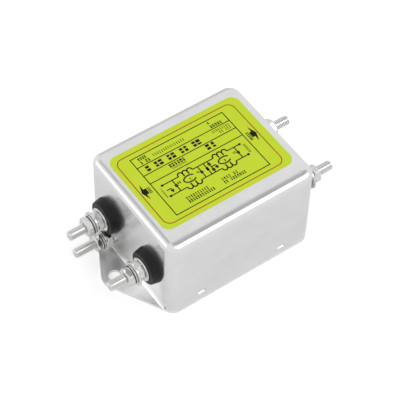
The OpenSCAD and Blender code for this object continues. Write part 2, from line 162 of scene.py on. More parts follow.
platings = {
    "case_plating": {"light": (0.80, 0.80, 0.80), "dark": (0.76, 0.76, 0.76), "mottle": 7 * mm, "grain": 0.35 * mm,
                     "grainDepth": 0.0015 * mm, "waveSize": 16 * mm, "waveDepth": 0.03 * mm, "rough": (0.20, 0.26)},
    "plate_plating": {"light": (0.94, 0.94, 0.935), "dark": (0.86, 0.86, 0.855), "mottle": 5 * mm, "grain": 0.3 * mm,
                      "grainDepth": 0.002 * mm, "waveSize": 12 * mm, "waveDepth": 0.03 * mm, "rough": (0.32, 0.42)},
    "barb_plating": {"light": (0.95, 0.95, 0.95), "dark": (0.88, 0.88, 0.88), "mottle": 1 * mm, "grain": 0.2 * mm,
                     "grainDepth": 0.001 * mm, "waveSize": 2 * mm, "waveDepth": 0.004 * mm, "rough": (0.25, 0.35)},
    "stud_plating": {"light": (0.96, 0.96, 0.95), "dark": (0.88, 0.88, 0.87), "mottle": 1.6 * mm, "grain": 0.2 * mm,
                     "grainDepth": 0.001 * mm, "waveSize": 3 * mm, "waveDepth": 0.004 * mm, "rough": (0.12, 0.18),
                     # darkest colour of the painted shade in the thread roots
                     "root_shade": (0.45, 0.45, 0.45)},
    "nut_plating": {"light": (0.76, 0.755, 0.75), "dark": (0.64, 0.64, 0.63), "mottle": 2 * mm, "grain": 0.25 * mm,
                    "grainDepth": 0.001 * mm, "waveSize": 4 * mm, "waveDepth": 0.006 * mm, "rough": (0.14, 0.20)},
    "washer_plating": {"light": (0.78, 0.775, 0.77), "dark": (0.68, 0.68, 0.67), "mottle": 2 * mm, "grain": 0.25 * mm,
                       "grainDepth": 0.001 * mm, "waveSize": 4 * mm, "waveDepth": 0.006 * mm, "rough": (0.16, 0.24)},
    "spring_steel": {"light": (0.74, 0.735, 0.73), "dark": (0.60, 0.60, 0.59), "mottle": 1.5 * mm, "grain": 0.2 * mm,
                     "grainDepth": 0.004 * mm, "waveSize": 3 * mm, "waveDepth": 0.02 * mm, "rough": (0.24, 0.40)},
    "tinned_copper": {"light": (0.72, 0.70, 0.66), "dark": (0.52, 0.44, 0.36), "mottle": 1.5 * mm, "grain": 0.2 * mm,
                      "grainDepth": 0.003 * mm, "waveSize": 3 * mm, "waveDepth": 0.02 * mm, "rough": (0.20, 0.35)},
    "winding_wire": {"light": (0.72, 0.32, 0.12), "dark": (0.48, 0.17, 0.06), "mottle": 2 * mm, "grain": 0.2 * mm,
                     "grainDepth": 0.002 * mm, "waveSize": 3 * mm, "waveDepth": 0.01 * mm, "rough": (0.18, 0.30)},
}
solids = {
    # near black: painted shade on the spring washers' cheeks, the faces against the nut and the flat washer
    "spring_cheek_shade": {"light": (0.016, 0.016, 0.017), "dark": (0.008, 0.008, 0.009), "mottle": 1.2 * mm,
                     "grain": 0.2 * mm, "grainDepth": 0.003 * mm, "sheen": 0.20, "rough": (0.40, 0.50)},
    "collar_plastic": {"light": (0.009, 0.009, 0.010), "dark": (0.005, 0.005, 0.006), "mottle": 3 * mm,
                       "grain": 0.25 * mm, "grainDepth": 0.006 * mm, "sheen": 0.26, "rough": (0.40, 0.50)},
    "label_film": {"light": (0.625, 0.775, 0.038), "dark": (0.600, 0.750, 0.033), "mottle": 9 * mm, "grain": 0.3 * mm,
                   "grainDepth": 0.001 * mm, "sheen": 0.15, "rough": (0.42, 0.52)},
    "border_ink": {"light": (0.45, 0.10, 0.015), "dark": (0.38, 0.07, 0.012), "mottle": 2 * mm, "grain": 0.2 * mm,
                   "grainDepth": 0.001 * mm, "sheen": 0.15, "rough": (0.45, 0.55)},
    "black_ink": {"light": (0.012, 0.014, 0.008), "dark": (0.007, 0.008, 0.005), "mottle": 2 * mm, "grain": 0.2 * mm,
                  "grainDepth": 0.001 * mm, "sheen": 0.12, "rough": (0.45, 0.55)},
    "laminate": {"light": (0.10, 0.26, 0.12), "dark": (0.05, 0.17, 0.07), "mottle": 4 * mm, "grain": 0.4 * mm,
                 "grainDepth": 0.01 * mm, "rough": (0.35, 0.5)},
    "ferrite": {"light": (0.055, 0.055, 0.058), "dark": (0.03, 0.03, 0.032), "mottle": 2 * mm, "grain": 0.3 * mm,
                "grainDepth": 0.02 * mm, "rough": (0.5, 0.7)},
    "capacitor_box": {"light": (0.66, 0.50, 0.10), "dark": (0.56, 0.40, 0.07), "mottle": 4 * mm, "grain": 0.3 * mm,
                      "grainDepth": 0.01 * mm, "rough": (0.35, 0.5)},
    "disc_ceramic": {"light": (0.10, 0.24, 0.50), "dark": (0.06, 0.16, 0.38), "mottle": 3 * mm, "grain": 0.4 * mm,
                     "grainDepth": 0.02 * mm, "rough": (0.3, 0.45)},
    "resistor_body": {"light": (0.60, 0.47, 0.30), "dark": (0.48, 0.36, 0.22), "mottle": 2 * mm, "grain": 0.3 * mm,
                      "grainDepth": 0.01 * mm, "rough": (0.35, 0.5)},
}
finishes = {name: platedMetal(name, look) for name, look in platings.items()}
finishes.update({name: softSolid(name, look) for name, look in solids.items()})
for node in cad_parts.values():
    for holder in node.material_slots:
        holder.material = finishes[holder.material.name.split(".")[0]]
print("finishes made:", len(finishes))


# Geometry trees

def newShapeTree(name, inputs, fromPath=False):
    tree = bpy.data.node_groups.new(name, "GeometryNodeTree")
    tree.is_modifier = True
    tree.interface.new_socket("Geometry", in_out="OUTPUT", socket_type="NodeSocketGeometry")
    if fromPath:
        tree.interface.new_socket("Path", in_out="INPUT", socket_type="NodeSocketGeometry")
    for label, value in inputs.items():
        kind = "NodeSocketInt" if isinstance(value, int) else "NodeSocketFloat"
        socket = tree.interface.new_socket(label, in_out="INPUT", socket_type=kind)
        socket.default_value = value
    return tree, tree.nodes.new("NodeGroupInput").outputs


def endTree(tree, shape, finish, part=None, partFinish=None):
    whole = addNode(tree, "GeometryNodeRealizeInstances", None, {"Geometry": shape}).outputs[0]
    dressed = addNode(tree, "GeometryNodeSetMaterial", None, {"Geometry": whole, "Material": finish}).outputs[0]
    if part is not None:
        dressed = addNode(tree, "GeometryNodeSetMaterial", None, {
            "Geometry": dressed, "Selection": part, "Material": partFinish}).outputs[0]
    tree.links.new(dressed, tree.nodes.new("NodeGroupOutput").inputs["Geometry"])


def growMesh(name, tree, values, start=None):
    holder = bpy.data.objects.new(name + "Holder", start or bpy.data.meshes.new(name + "Start"))
    bpy.context.scene.collection.objects.link(holder)
    modifier = holder.modifiers.new("shape", "NODES")
    modifier.node_group = tree
    for item in tree.interface.items_tree:
        if item.item_type == "SOCKET" and item.in_out == "INPUT" and item.name in values:
            modifier[item.identifier] = values[item.name]
    depsgraph = bpy.context.evaluated_depsgraph_get()
    mesh = bpy.data.meshes.new_from_object(holder.evaluated_get(depsgraph))
    holder.modifiers.remove(modifier)
    bpy.data.objects.remove(holder)
    mesh.name = name
    return mesh


def keepFlats(mesh):
    # smooth faces, but every face square to an axis keeps its own plane
    if mesh.has_custom_normals:
        mesh.attributes.remove(mesh.attributes["custom_normal"])
    for face in mesh.polygons:
        face.use_smooth = max(abs(part) for part in face.normal) < 0.99999


def faceOut(mesh, merge=False, bevel=0.0):
    # turns the faces outward, after joining doubles and before breaking edges where asked
    loose = bmesh.new()
    loose.from_mesh(mesh)
    if merge:
        bmesh.ops.remove_doubles(loose, verts=loose.verts, dist=mergeDistance)
    bmesh.ops.recalc_face_normals(loose, faces=loose.faces)
    if bevel:
        bmesh.ops.bevel(loose, geom=loose.edges[:], offset=bevel, segments=2, affect="EDGES")
    loose.to_mesh(mesh)
    loose.free()


def showPiece(name, mesh, place, slot, *nodes):
    mesh.transform(place)
    if place.determinant() < 0:
        mesh.flip_normals()
    piece = bpy.data.objects.new(name, mesh)
    bpy.context.scene.collection.objects.link(piece)
    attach(piece, "root")
    if nodes:
        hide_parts(*nodes)
    return piece


meshSteps = {
    "fillet": 3, "washerSides": 72, "springSides": 64, "nutSides": 120, "nutCuts": 5,
    "rodSides": 40, "headSides": 96, "headRings": 10,
}
hexForm = {"coneAngle": 30, "leastRadius": 0.001 * mm}
threadForm = {"rootShare": 0.10, "crestShare": 0.50, "wholeTurns": 100}   # whole turns keep the phase above zero


def roundShape(tree, inner, outer, height, edge, sides, cuts, slit=None):
    # closed section with rounded edges, swept round the axis, all the way or up to a slit
    width = calc(tree, "SUBTRACT", outer, inner)
    middle = calc(tree, "MULTIPLY", calc(tree, "ADD", outer, inner), 0.5)
    section = addNode(tree, "GeometryNodeCurvePrimitiveQuadrilateral", {"mode": "RECTANGLE"},
                      {"Width": width, "Height": height}).outputs[0]
    eased = addNode(tree, "GeometryNodeFilletCurve", {"mode": "POLY"},
                    {"Curve": section, "Radius": edge, "Count": meshSteps["fillet"]}).outputs[0]
    dense = addNode(tree, "GeometryNodeSubdivideCurve", None, {"Curve": eased, "Cuts": cuts}).outputs[0]
    if slit is None:
        circle = addNode(tree, "GeometryNodeCurvePrimitiveCircle", {"mode": "RADIUS"},
                         {"Resolution": sides, "Radius": middle}).outputs[0]
    else:
        circle = addNode(tree, "GeometryNodeCurveArc", {"mode": "RADIUS"}, {
            "Resolution": sides, "Radius": middle, "Start Angle": calc(tree, "MULTIPLY", slit, 0.5),
            "Sweep Angle": calc(tree, "SUBTRACT", 2 * math.pi, slit)}).outputs[0]
    return addNode(tree, "GeometryNodeCurveToMesh", None, {
        "Curve": circle, "Profile Curve": dense, "Fill Caps": slit is not None}).outputs[0]


def moved(tree, shape, point):
    return addNode(tree, "GeometryNodeSetPosition", None, {"Geometry": shape, "Position": point}).outputs[0]


def smoothed(tree, shape):
    return addNode(tree, "GeometryNodeSetShadeSmooth", None, {"Geometry": shape}).outputs[0]


def washerTree(finish):
    tree, inputs = newShapeTree("plainWasher", {
        "Inner": 2.15 * mm, "Outer": 4.9 * mm, "Height": 0.8 * mm, "Edge": 0.1 * mm})
    sizes = [inputs[name] for name in ("Inner", "Outer", "Height", "Edge")]
    shape = roundShape(tree, *sizes, meshSteps["washerSides"], 0)
    endTree(tree, smoothed(tree, shape), finish)
    return tree


def splitTree(finish, cheekShadeFinish):
    tree, inputs = newShapeTree("splitWasher", {
        "Inner": 2.15 * mm, "Outer": 3.8 * mm, "Height": 0.8 * mm, "Edge": 0.22 * mm, "Slit": 0.26, "Cheek": 0.35})
    sizes = [inputs[name] for name in ("Inner", "Outer", "Height", "Edge")]
    shape = roundShape(tree, *sizes, meshSteps["springSides"], 0, inputs["Slit"])
    steep = calc(tree, "ABSOLUTE", splitPoint(tree, tree.nodes.new("GeometryNodeInputNormal").outputs[0])[2])
    # faces turned along the axis, toward the nut and the flat washer, get the near-black painted shade; only the
    # outer and inner rims keep the steel's colour
    cheek = calc(tree, "GREATER_THAN", steep, inputs["Cheek"])
    endTree(tree, smoothed(tree, shape), finish, cheek, cheekShadeFinish)
    return tree


def hexPoint(tree, inner, flats, height, face, ease):
    # where a point of a round blank goes to make a hexagon with both ends turned to a cone
    x, y, z = splitPoint(tree, addNode(tree, "GeometryNodeInputPosition").outputs[0])
    half = calc(tree, "MULTIPLY", flats, 0.5)
    radius = calc(tree, "SQRT", calc(tree, "ADD", calc(tree, "MULTIPLY", x, x), calc(tree, "MULTIPLY", y, y)))
    angle = calc(tree, "ARCTAN2", y, x)
    sixth = math.pi / 3
    fold = calc(tree, "SUBTRACT", calc(tree, "MODULO", calc(tree, "ADD", angle, 6 * sixth), sixth), sixth / 2)
    flat = calc(tree, "DIVIDE", half, calc(tree, "COSINE", fold))
    drop = calc(tree, "SUBTRACT", calc(tree, "MULTIPLY", height, 0.5), calc(tree, "ABSOLUTE", z))
    cone = calc(tree, "ADD", face, calc(tree, "DIVIDE", drop, math.tan(math.radians(hexForm["coneAngle"]))))
    wanted = calc(tree, "SMOOTH_MIN", flat, cone, ease)
    share = calc(tree, "DIVIDE", calc(tree, "SUBTRACT", radius, inner), calc(tree, "SUBTRACT", half, inner))
    newRadius = calc(tree, "ADD", inner, calc(tree, "MULTIPLY", share, calc(tree, "SUBTRACT", wanted, inner)))
    grow = calc(tree, "DIVIDE", newRadius, calc(tree, "MAXIMUM", radius, hexForm["leastRadius"]))
    return joinPoint(tree, calc(tree, "MULTIPLY", x, grow), calc(tree, "MULTIPLY", y, grow), z)


def nutTree(finish):
    tree, inputs = newShapeTree("hexNut", {
        "Bore": 1.82 * mm, "Flats": 7 * mm, "Height": 2.7 * mm, "Edge": 0.1 * mm,
        "Face": 3.35 * mm, "Corner Ease": 0.06 * mm})
    half = calc(tree, "MULTIPLY", inputs["Flats"], 0.5)
    shape = roundShape(tree, inputs["Bore"], half, inputs["Height"], inputs["Edge"],
                       meshSteps["nutSides"], meshSteps["nutCuts"])
    point = hexPoint(tree, *[inputs[name] for name in ("Bore", "Flats", "Height", "Face", "Corner Ease")])
    endTree(tree, moved(tree, shape, point), finish)
    return tree


def boltTree(finish):
    # threaded rod with its tip at the top, and a hexagon head under its lower end
    tree, inputs = newShapeTree("screwThread", {
        "Crest": 2 * mm, "Root": 1.58 * mm, "Pitch": 0.7 * mm, "Length": 20 * mm,
        "Tip Chamfer": 0.45 * mm, "Rings": 200, "Flats": 7 * mm, "Head Height": 2.8 * mm,
        "Face": 3.35 * mm, "Corner Ease": 0.06 * mm})
    rod = addNode(tree, "GeometryNodeMeshCylinder", {"fill_type": "TRIANGLE_FAN"}, {
        "Vertices": meshSteps["rodSides"], "Side Segments": inputs["Rings"],
        "Radius": inputs["Crest"], "Depth": inputs["Length"]}).outputs["Mesh"]
    x, y, z = splitPoint(tree, addNode(tree, "GeometryNodeInputPosition").outputs[0])
    turn = calc(tree, "DIVIDE", calc(tree, "ARCTAN2", y, x), 2 * math.pi)
    pitches = calc(tree, "SUBTRACT", calc(tree, "DIVIDE", z, inputs["Pitch"]), turn)
    phase = calc(tree, "FRACT", calc(tree, "ADD", pitches, threadForm["wholeTurns"]))
    slope = calc(tree, "ABSOLUTE", calc(tree, "SUBTRACT", calc(tree, "MULTIPLY", phase, 2), 1))
    tooth = remap(tree, slope, threadForm["rootShare"], threadForm["crestShare"], 0, 1)
    toothDepth = calc(tree, "SUBTRACT", inputs["Crest"], inputs["Root"])
    radius = calc(tree, "ADD", inputs["Root"], calc(tree, "MULTIPLY", tooth, toothDepth))
    toTip = calc(tree, "SUBTRACT", calc(tree, "MULTIPLY", inputs["Length"], 0.5), z)
    tip = calc(tree, "ADD", calc(tree, "SUBTRACT", inputs["Crest"], inputs["Tip Chamfer"]), toTip)
    grow = calc(tree, "DIVIDE", calc(tree, "MINIMUM", radius, tip), inputs["Crest"])
    point = joinPoint(tree, calc(tree, "MULTIPLY", x, grow), calc(tree, "MULTIPLY", y, grow), z)
    # 1 at the thread's roots, where the stud's colour gets painted shade
    root_shade = calc(tree, "SUBTRACT", 1.0, tooth)
    marked = addNode(tree, "GeometryNodeStoreNamedAttribute", {"data_type": "FLOAT", "domain": "POINT"}, {
        "Geometry": rod, "Name": "root_shade", "Value": root_shade}).outputs[0]
    threaded = moved(tree, marked, point)
    half = calc(tree, "MULTIPLY", inputs["Flats"], 0.5)
    blank = addNode(tree, "GeometryNodeMeshCylinder", {"fill_type": "TRIANGLE_FAN"}, {
        "Vertices": meshSteps["headSides"], "Side Segments": meshSteps["headRings"],
        "Radius": half, "Depth": inputs["Head Height"]}).outputs["Mesh"]
    headSizes = [inputs[name] for name in ("Flats", "Head Height", "Face", "Corner Ease")]
    head = moved(tree, blank, hexPoint(tree, 0.0, *headSizes))
    under = calc(tree, "MULTIPLY", calc(tree, "ADD", inputs["Length"], inputs["Head Height"]), -0.5)
    lowered = addNode(tree, "GeometryNodeTransform", None, {
        "Geometry": head, "Translation": joinPoint(tree, 0.0, 0.0, under)}).outputs[0]
    both = addNode(tree, "GeometryNodeJoinGeometry")
    tree.links.new(threaded, both.inputs[0])
    tree.links.new(lowered, both.inputs[0])
    endTree(tree, both.outputs[0], finish)
    return tree


# Can: drawn shell whose top eases into its rounded edge, cut out for the terminals and the plate's barbs

canShape = {
    "wall": 0.8 * mm, "cornerRadius": 4.7 * mm,
    "edgeRadius": (1.9 * mm, 3.3 * mm), "easeRadius": (5 * mm, 10 * mm),   # on the far sides, on the near sides
    "easeAngle": 16, "endShare": 0.25, "leastBend": 0.6 * mm, "sharpAngle": 25,
    "arcSteps": 18, "easeSteps": 7, "roomSteps": 6, "wallLevels": (0, 8 * mm, 22 * mm),
    "roomShoulder": 2.6 * mm, "roomInset": 1.2 * mm, "roomCeiling": 0.3 * mm, "pastWall": 1 * mm,
    "windowSize": (3 * mm, 1.5 * mm), "windowAt": (18.5 * mm, 5.4 * mm),
    "terminalHole": 3.95 * mm, "earthHole": 2.05 * mm,
}


def roundedRing(halfLength, halfWidth, radius, steps, section):
    # one ring of the can: section gives the inset and height for how much a point faces the near sides
    ring = []
    for corner, (signX, signY) in enumerate(((1, 1), (-1, 1), (-1, -1), (1, -1))):
        for step in range(steps + 1):
            angle = math.radians(90 * (corner + step / steps))
            across, along = math.cos(angle), math.sin(angle)
            inset, height = section(min(along, 0) ** 2 + canShape["endShare"] * min(across, 0) ** 2)
            bend = max(radius - inset, canShape["leastBend"])
            ring.append((signX * (halfLength - inset - bend) + bend * across,
                         signY * (halfWidth - inset - bend) + bend * along, height))
    return ring


def loftRings(name, rings):
    points = [point for ring in rings for point in ring]
    count = len(rings[0])
    faces = [tuple(reversed(range(count)))]
    for level in range(len(rings) - 1):
        start = level * count
        for i in range(count):
            j = (i + 1) % count
            faces.append((start + i, start + j, start + count + j, start + count + i))
    faces.append(tuple(range(len(points) - count, len(points))))
    mesh = bpy.data.meshes.new(name)
    mesh.from_pydata(points, [], faces)
    return mesh


def cutAway(mesh, cutters):
    # the meshes' difference, by exact booleans
    body = bpy.data.objects.new("blank", mesh)
    bpy.context.scene.collection.objects.link(body)
    helpers = []
    for cutter in cutters:
        helper = bpy.data.objects.new("cutter", cutter)
        bpy.context.scene.collection.objects.link(helper)
        step = body.modifiers.new("cut", "BOOLEAN")
        step.operation, step.solver, step.object = "DIFFERENCE", "EXACT", helper
        helpers.append(helper)
    depsgraph = bpy.context.evaluated_depsgraph_get()
    result = bpy.data.meshes.new_from_object(body.evaluated_get(depsgraph))
    for helper in helpers + [body]:
        bpy.data.objects.remove(helper)
    return result


def boxMesh(low, high):
    (x0, y0, z0), (x1, y1, z1) = low, high
    return loftRings("box", [[(x0, y0, z), (x1, y0, z), (x1, y1, z), (x0, y1, z)] for z in (z0, z1)])


def rodMesh(radius, start, end, y, z, sides=48):
    rings = [[(x, y + radius * math.cos(2 * math.pi * i / sides), z + radius * math.sin(2 * math.pi * i / sides))
              for i in range(sides)] for x in (start, end)]
    return loftRings("rod", rings)


def makeCan():
    low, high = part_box("case_shell")
    halfLength, halfWidth = high.x, high.y
    wall, corner, steps = canShape["wall"], canShape["cornerRadius"], canShape["arcSteps"]
    ease = math.radians(canShape["easeAngle"])

    def edgePoint(lean):
        # a point of the edge's section where its face leans by this angle from the level top
        def section(near):
            small, large = [a + (b - a) * near for a, b in (canShape["edgeRadius"], canShape["easeRadius"])]
            if lean < ease:
                inset = small * (1 - math.sin(ease)) + large * (math.sin(ease) - math.sin(lean))
                return inset, high.z - large * (1 - math.cos(lean))
            drop = large * (1 - math.cos(ease))
            return small * (1 - math.sin(lean)), high.z - drop - small * (math.cos(ease) - math.cos(lean))
        return section

    leans = [math.pi / 2 - (math.pi / 2 - ease) * step / steps for step in range(steps + 1)]
    easeSteps = canShape["easeSteps"]
    leans += [ease * (1 - step / easeSteps) for step in range(1, easeSteps + 1)]
    sections = [lambda near, z=low.z + level: (0, z) for level in canShape["wallLevels"]]
    sections += [edgePoint(lean) for lean in leans]
    outer = loftRings("canShape", [roundedRing(halfLength, halfWidth, corner, steps, part) for part in sections])
    past = canShape["pastWall"]
    room = ((0, low.z - past), (0, high.z - canShape["roomShoulder"]),
            (canShape["roomInset"], high.z - wall - canShape["roomCeiling"]))
    inner = loftRings("canRoom", [
        roundedRing(halfLength - wall, halfWidth - wall, corner - wall, canShape["roomSteps"],
                    lambda near, point=point: point) for point in room])
    cutters = [inner]
    for terminal in nutTurns:
        studLow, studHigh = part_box(terminal + "_stud")
        side = -1 if studLow.x < 0 else 1
        hole = canShape["earthHole" if terminal == "earth" else "terminalHole"]
        start, end = sorted((side * (halfLength - 3 * wall), side * (halfLength + past)))
        axis = (studLow + studHigh) / 2
        cutters.append(rodMesh(hole, start, end, axis.y, axis.z))
    windowX, windowZ = canShape["windowAt"]
    wide, tall = canShape["windowSize"]
    for x in (-windowX, windowX):
        cutters.append(boxMesh((x - wide / 2, -halfWidth - wall, windowZ - tall / 2),
                               (x + wide / 2, halfWidth + wall, windowZ + tall / 2)))
    for cutter in cutters:
        faceOut(cutter)
    shell = cutAway(outer, cutters)
    shell.name = "canShell"
    shell.materials.clear()
    shell.materials.append(finishes["case_plating"])
    keepFlats(shell)
    shell.set_sharp_from_angle(angle=math.radians(canShape["sharpAngle"]))
    showPiece("can_shell", shell, Matrix.Identity(4), "case_plating", "case_shell")


# Base plate: the plate and its ears with their edges broken, and bright sloped barbs in the can's windows

plateShape = {
    "edge": 0.22 * mm, "steps": 3, "flatAngle": 1, "edgeAngle": 40,
    "barbSize": (2.9 * mm, 1.42 * mm), "barbEdge": 0.05 * mm, "barbSlope": 0.614,
    "barbDepths": (0.05 * mm, 0.7 * mm, 1.4 * mm, 1.9 * mm),   # lip, end of the slope, top, back
    "rim": 0.7 * mm, "rimPast": 1.5 * mm, "rimLap": 0.05 * mm,
    "rimSection": ((0, 0), (1, 0), (1, 0.35), (0.8, 0.75), (0.45, 0.97), (0, 1.1)),   # shares of the rim
}


def makePlate():
    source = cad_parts["base_plate"].data
    shape = bmesh.new()
    shape.from_mesh(source)
    bmesh.ops.remove_doubles(shape, verts=shape.verts, dist=mergeDistance)
    flat = math.radians(plateShape["flatAngle"])
    bmesh.ops.dissolve_limit(shape, angle_limit=flat, verts=shape.verts, edges=shape.edges)
    mesh = bpy.data.meshes.new("plateShape")
    shape.to_mesh(mesh)
    shape.free()
    holder = bpy.data.objects.new("plateHolder", mesh)
    bpy.context.scene.collection.objects.link(holder)
    bevel = holder.modifiers.new("edge", "BEVEL")
    bevel.width, bevel.segments, bevel.limit_method = plateShape["edge"], plateShape["steps"], "ANGLE"
    bevel.angle_limit = math.radians(plateShape["edgeAngle"])
    depsgraph = bpy.context.evaluated_depsgraph_get()
    result = bpy.data.meshes.new_from_object(holder.evaluated_get(depsgraph))
    bpy.data.objects.remove(holder)
    result.name = "platePiece"
    keepFlats(result)
    result.materials.clear()
    result.materials.append(finishes["plate_plating"])
    showPiece("plate_shape", result, Matrix.Identity(4), "plate_plating", "base_plate")


def barMesh(name, bars, bevel=0.0):
    # closed bars, each between two matching rings of points
    points, faces = [], []
    for first, second in bars:
        start, count = len(points), len(first)
        points += first + second
        a, b = [start + i for i in range(count)], [start + count + i for i in range(count)]
        faces += [tuple(a), tuple(reversed(b))]
        faces += [(a[i], b[i], b[(i + 1) % count], a[(i + 1) % count]) for i in range(count)]
    mesh = bpy.data.meshes.new(name)
    mesh.from_pydata(points, [], faces)
    faceOut(mesh, bevel=bevel)
    mesh.materials.append(finishes["barb_plating"])
    return mesh


def makeRims():
    # turned-out lower edge of the can where it stands on the ears
    size, lap = plateShape["rim"], plateShape["rimLap"]
    section = [(out * size, up * size) for out, up in plateShape["rimSection"]]
    low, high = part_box("case_shell")
    straight = high.y - canShape["cornerRadius"] + plateShape["rimPast"]
    bars = [[[(side * high.x + side * (out - lap), y, low.z + up) for out, up in section]
             for y in (-straight, straight)] for side in (-1, 1)]
    showPiece("can_rims", barMesh("rimShape", bars), Matrix.Identity(4), "case_plating")


def makeBarbs():
    wide, tall = plateShape["barbSize"]
    windowX, windowZ = canShape["windowAt"]
    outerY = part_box("case_shell")[1].y
    lip, shelf, top, back = plateShape["barbDepths"]
    shelfZ = plateShape["barbSlope"] * (shelf - lip) - tall / 2
    section = (lip, -tall / 2), (shelf, shelfZ), (top, tall / 2), (back, tall / 2), (back, -tall / 2)
    bars = [[[(end, side * (outerY - depth), windowZ + z) for depth, z in section]
             for end in (x - wide / 2, x + wide / 2)] for x in (-windowX, windowX) for side in (-1, 1)]
    mesh = barMesh("barbShape", bars, plateShape["barbEdge"])
    showPiece("window_barbs", mesh, Matrix.Identity(4), "plate_plating")


# Terminals: the same stack of hardware at each stud

stackSizes = {
    "crest": 2 * mm, "root": 1.58 * mm, "pitch": 0.7 * mm, "tipChamfer": 0.45 * mm, "ringsPerPitch": 9,
    "flats": 7 * mm, "nutFace": 3.35 * mm, "headHeight": 2.8 * mm, "nutBore": 1.82 * mm,
    "washerBore": 2.15 * mm, "washerEdge": 0.12 * mm, "springEdge": 0.24 * mm, "slit": 0.26, "slitTurn": 70,
}
nutTurns = {   # clamp nut, terminal nut, in degrees
    "line_a": (45, 18), "line_b": (14, 8), "load_a": (40, 33), "load_b": (14, 4), "earth": (12, 34),
}
trees = {
    "washer": washerTree(finishes["washer_plating"]),
    # the spring washer's cheeks take a second, near-black finish as painted shade
    "split": splitTree(finishes["spring_steel"], finishes["spring_cheek_shade"]),
    "nut": nutTree(finishes["nut_plating"]),
    "bolt": boltTree(finishes["stud_plating"]),
}


ringSizes = {
    "washer": {"Inner": stackSizes["washerBore"], "Edge": stackSizes["washerEdge"]},
    "split": {"Inner": stackSizes["washerBore"], "Edge": stackSizes["springEdge"], "Slit": stackSizes["slit"]},
    "nut": {"Bore": stackSizes["nutBore"], "Flats": stackSizes["flats"], "Face": stackSizes["nutFace"]},
}
ringSlots = {"washer": "washer_plating", "split": "spring_steel", "nut": "nut_plating"}


def dressStud(terminal, outward):
    node = terminal + "_stud"
    low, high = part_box(node)
    tip, foot = (low.x, high.x) if outward < 0 else (high.x, low.x)
    length = abs(tip - foot) - stackSizes["headHeight"]
    mesh = growMesh(node, trees["bolt"], {
        "Crest": stackSizes["crest"], "Root": stackSizes["root"], "Pitch": stackSizes["pitch"],
        "Tip Chamfer": stackSizes["tipChamfer"], "Length": length, "Flats": stackSizes["flats"],
        "Head Height": stackSizes["headHeight"], "Face": stackSizes["nutFace"],
        "Rings": round(length / stackSizes["pitch"] * stackSizes["ringsPerPitch"])})
    spot = Vector((tip - outward * length / 2, (low.y + high.y) / 2, (low.z + high.z) / 2))
    place = Matrix.Translation(spot) @ Matrix.Rotation(math.radians(90 * outward), 4, "Y")
    showPiece(node + "_shape", mesh, place, "stud_plating", node)


def dressRing(node, kind, outward, turn=0):
    # nut or washer of its solid's height and reach
    low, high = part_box(node)
    reach = {"Height": high.x - low.x, "Outer": (high.z - low.z) / 2}
    mesh = growMesh(node, trees[kind], {**ringSizes[kind], **reach})
    if kind == "split":
        faceOut(mesh, merge=True)
    quarter = Matrix.Rotation(math.radians(90 * outward), 4, "Y")
    place = Matrix.Translation((low + high) / 2) @ quarter @ Matrix.Rotation(math.radians(turn), 4, "Z")
    showPiece(node + "_shape", mesh, place, ringSlots[kind], node)


for terminal, (clampTurn, topTurn) in nutTurns.items():
    outward = 1 if terminal.startswith("load") else -1
    dressStud(terminal, outward)
    dressRing(terminal + "_clamp_nut", "nut", outward, clampTurn)
    dressRing(terminal + "_terminal_nut", "nut", outward, topTurn)
    dressRing(terminal + "_flat_washer", "washer", outward)
    dressRing(terminal + "_spring_washer", "split", outward, stackSizes["slitTurn"])
    if terminal != "earth":
        dressRing(terminal + "_clamp_washer", "washer", outward)
print("terminal hardware made")
makeCan()
makePlate()
makeRims()
makeBarbs()
print("can and plate made")


# Label print: ruled frame, circuit drawing, arrows, and rows of plain blocks where the print was

